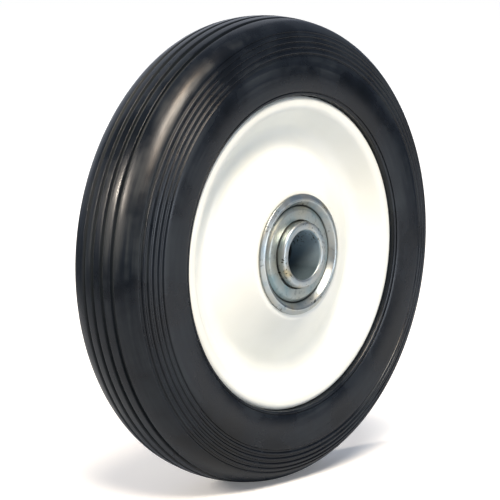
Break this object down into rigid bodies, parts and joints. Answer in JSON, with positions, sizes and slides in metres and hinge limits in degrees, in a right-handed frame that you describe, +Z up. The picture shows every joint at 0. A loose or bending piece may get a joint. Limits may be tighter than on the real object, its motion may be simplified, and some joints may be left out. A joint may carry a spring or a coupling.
{
  "type": "trolley wheel",
  "caption": "Trolley wheel with a ribbed solid rubber tyre, dished white steel discs and a plain bore in flanged ball bearings.",
  "frame": {"origin": "centre of the wheel: on the axle's line, midway between the two collar ends", "axes": "Y along the axle, -Y out of the face that the picture shows, +Z up, +X to the right of that face"},
  "size_m": [0.1524, 0.0382, 0.1524],
  "materials": {
    "tyre_rubber": "satin moulded rubber",
    "white_enamel": "gloss",
    "barrel_steel": "drawn tube",
    "zinc_plate": "bright zinc plated",
    "zinc_shield": "zinc plated, pressed",
    "ball_steel": "polished"
  },
  "bodies": {
    "inner_races": {"front_inner_race": "zinc_plate", "back_inner_race": "zinc_plate"},
    "wheel": {"tyre": "tyre_rubber", "front_disc": "white_enamel", "back_disc": "white_enamel", "hub_barrel": "barrel_steel", "front_outer_race": "zinc_plate", "back_outer_race": "zinc_plate", "front_shield": "zinc_shield", "back_shield": "zinc_shield"},
    "front_balls": {"front_ball_1": "ball_steel", "front_ball_2": "ball_steel", "front_ball_3": "ball_steel", "front_ball_4": "ball_steel", "front_ball_5": "ball_steel", "front_ball_6": "ball_steel", "front_ball_7": "ball_steel", "front_ball_8": "ball_steel", "front_ball_9": "ball_steel", "front_ball_10": "ball_steel", "front_ball_11": "ball_steel", "front_ball_12": "ball_steel"},
    "back_balls": {"back_ball_1": "ball_steel", "back_ball_2": "ball_steel", "back_ball_3": "ball_steel", "back_ball_4": "ball_steel", "back_ball_5": "ball_steel", "back_ball_6": "ball_steel", "back_ball_7": "ball_steel", "back_ball_8": "ball_steel", "back_ball_9": "ball_steel", "back_ball_10": "ball_steel", "back_ball_11": "ball_steel", "back_ball_12": "ball_steel"}
  },
  "joints": [
    {"name": "wheel_spin", "type": "hinge", "parent": "inner_races", "child": "wheel", "pos_m": [0, 0, 0], "axis": [0, 1, 0], "continuous": true},
    {"name": "front_ball_train", "type": "hinge", "parent": "inner_races", "child": "front_balls", "pos_m": [0, 0, 0], "axis": [0, 1, 0], "continuous": true},
    {"name": "back_ball_train", "type": "hinge", "parent": "inner_races", "child": "back_balls", "pos_m": [0, 0, 0], "axis": [0, 1, 0], "continuous": true}
  ],
  "couplings": [
    {"joint": "front_ball_train", "follows": "wheel_spin", "ratio": 0.6208},
    {"joint": "back_ball_train", "follows": "wheel_spin", "ratio": 0.6208}
  ]
}
